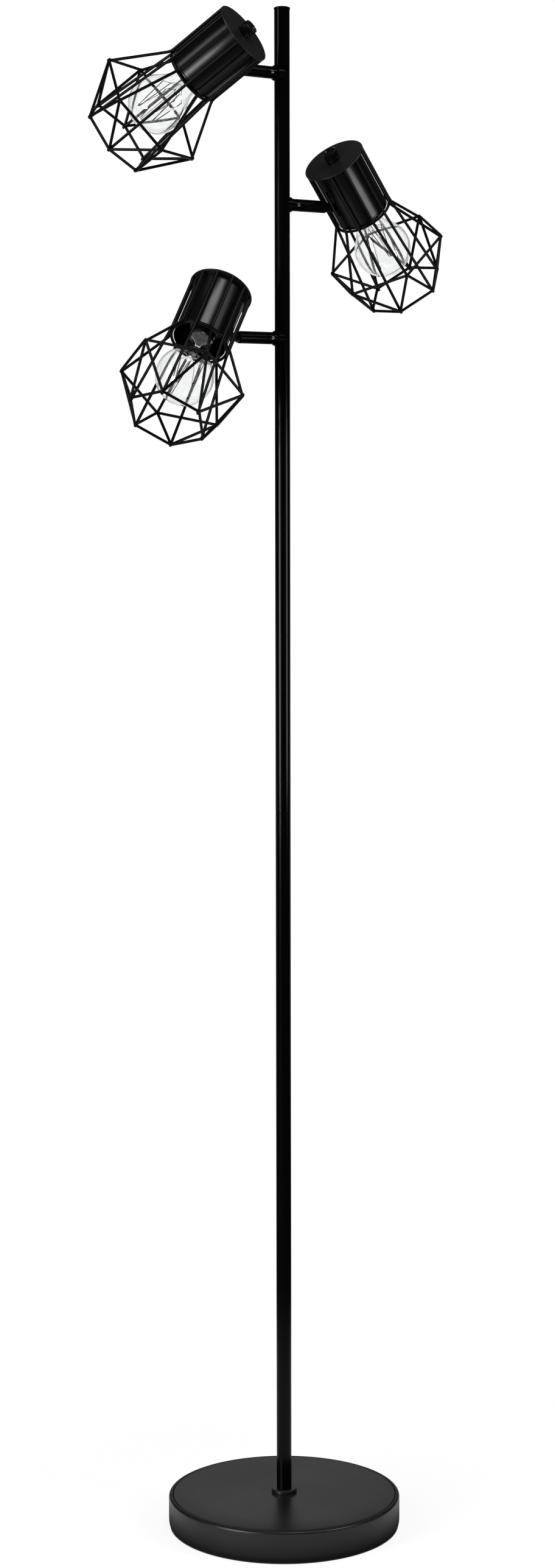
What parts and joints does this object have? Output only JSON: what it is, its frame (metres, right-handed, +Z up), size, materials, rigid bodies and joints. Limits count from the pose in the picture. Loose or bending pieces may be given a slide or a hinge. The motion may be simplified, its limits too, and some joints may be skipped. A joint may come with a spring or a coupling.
{
  "type": "wire cage floor lamp",
  "caption": "Floor lamp with a round base, a slim pole and short swivel arms whose tilting cups hold bulbs in faceted wire cages.",
  "frame": {"origin": "centre of the base's underside, on the floor", "axes": "+Z up along the pole; the arms lie along X, the lowest and highest ones towards -X; the cord inlet is at +Y"},
  "size_m": [0.4191, 0.2525, 1.6133],
  "materials": {
    "black_pole": "satin black paint",
    "black_base": "fine black powder coat",
    "black_shade": "satin black paint",
    "black_wire": "satin black paint on welded wire",
    "steel": "plain zinc-plated steel",
    "weight_iron": "raw casting",
    "felt": "black felt",
    "black_plastic": "moulded black plastic",
    "shell_brass": "bright brass",
    "cap_metal": "bright aluminium",
    "clear_glass": "clear glass",
    "filament_glass": "coated filaments on a clear stem",
    "lead_sheath": "black sheath"
  },
  "bodies": {
    "stand": {"base_cover": "black_base", "base_weight": "weight_iron", "base_pad": "felt", "base_collar": "black_pole", "base_nipple": "steel", "base_nut": "steel", "inlet_bushing": "black_plastic", "supply_lead": "lead_sheath", "pole_lower": "black_pole", "pole_upper": "black_pole", "pole_joiner": "steel", "pole_cap": "black_pole", "saddles": "black_pole", "spindles": "steel", "set_screws": "steel", "swivel_nuts": "steel", "branch_leads": "lead_sheath", "lower_knuckle": "black_pole", "middle_knuckle": "black_pole", "upper_knuckle": "black_pole"},
    "lower_arm": {"lower_arm_tube": "black_pole", "lower_arm_tongue": "steel"},
    "lower_head": {"lower_hinge_pin": "steel", "lower_hinge_strap": "steel", "lower_cup": "black_shade", "lower_cage": "black_wire", "lower_switch_body": "black_plastic", "lower_lampholder": "black_plastic", "lower_screw_shell": "shell_brass", "lower_lamp_cap": "cap_metal", "lower_lamp_glass": "clear_glass", "lower_lamp_filament": "filament_glass"},
    "lower_knob": {"lower_switch_knob": "black_plastic"},
    "middle_arm": {"middle_arm_tube": "black_pole", "middle_arm_tongue": "steel"},
    "middle_head": {"middle_hinge_pin": "steel", "middle_hinge_strap": "steel", "middle_cup": "black_shade", "middle_cage": "black_wire", "middle_switch_body": "black_plastic", "middle_lampholder": "black_plastic", "middle_screw_shell": "shell_brass", "middle_lamp_cap": "cap_metal", "middle_lamp_glass": "clear_glass", "middle_lamp_filament": "filament_glass"},
    "middle_knob": {"middle_switch_knob": "black_plastic"},
    "upper_arm": {"upper_arm_tube": "black_pole", "upper_arm_tongue": "steel"},
    "upper_head": {"upper_hinge_pin": "steel", "upper_hinge_strap": "steel", "upper_cup": "black_shade", "upper_cage": "black_wire", "upper_switch_body": "black_plastic", "upper_lampholder": "black_plastic", "upper_screw_shell": "shell_brass", "upper_lamp_cap": "cap_metal", "upper_lamp_glass": "clear_glass", "upper_lamp_filament": "filament_glass"},
    "upper_knob": {"upper_switch_knob": "black_plastic"}
  },
  "joints": [
    {"name": "lower_swivel", "type": "hinge", "parent": "stand", "child": "lower_arm", "pos_m": [-0.0297, 0, 1.2741], "axis": [1, 0, 0], "range_deg": [-146.3, 183.7]},
    {"name": "lower_tilt", "type": "hinge", "parent": "lower_arm", "child": "lower_head", "pos_m": [-0.0764, 0, 1.2741], "axis": [0, -0.9472, 0.3206], "range_deg": [-8.9, 52.1]},
    {"name": "lower_switch_turn", "type": "hinge", "parent": "lower_head", "child": "lower_knob", "pos_m": [-0.06514, 0.01753, 1.32589], "axis": [-0.6032, -0.2557, -0.7555], "continuous": true},
    {"name": "middle_swivel", "type": "hinge", "parent": "stand", "child": "middle_arm", "pos_m": [0.0297, 0, 1.412], "axis": [1, 0, 0], "range_deg": [-172.1, 157.9]},
    {"name": "middle_tilt", "type": "hinge", "parent": "middle_arm", "child": "middle_head", "pos_m": [0.0764, 0, 1.412], "axis": [0, 0.9923, 0.1236], "range_deg": [-4.6, 56.4]},
    {"name": "middle_switch_turn", "type": "hinge", "parent": "middle_head", "child": "middle_knob", "pos_m": [0.06107, -0.00663, 1.46527], "axis": [0.6613, 0.0927, -0.7444], "continuous": true},
    {"name": "upper_swivel", "type": "hinge", "parent": "stand", "child": "upper_arm", "pos_m": [-0.0297, 0, 1.545], "axis": [1, 0, 0], "range_deg": [-218.3, 111.7]},
    {"name": "upper_tilt", "type": "hinge", "parent": "upper_arm", "child": "upper_head", "pos_m": [-0.0764, 0, 1.545], "axis": [0, -0.5976, -0.8018], "range_deg": [-24.9, 36.1]},
    {"name": "upper_switch_turn", "type": "hinge", "parent": "upper_head", "child": "upper_knob", "pos_m": [-0.08065, -0.04463, 1.57826], "axis": [-0.36, 0.748, -0.5576], "continuous": true}
  ]
}
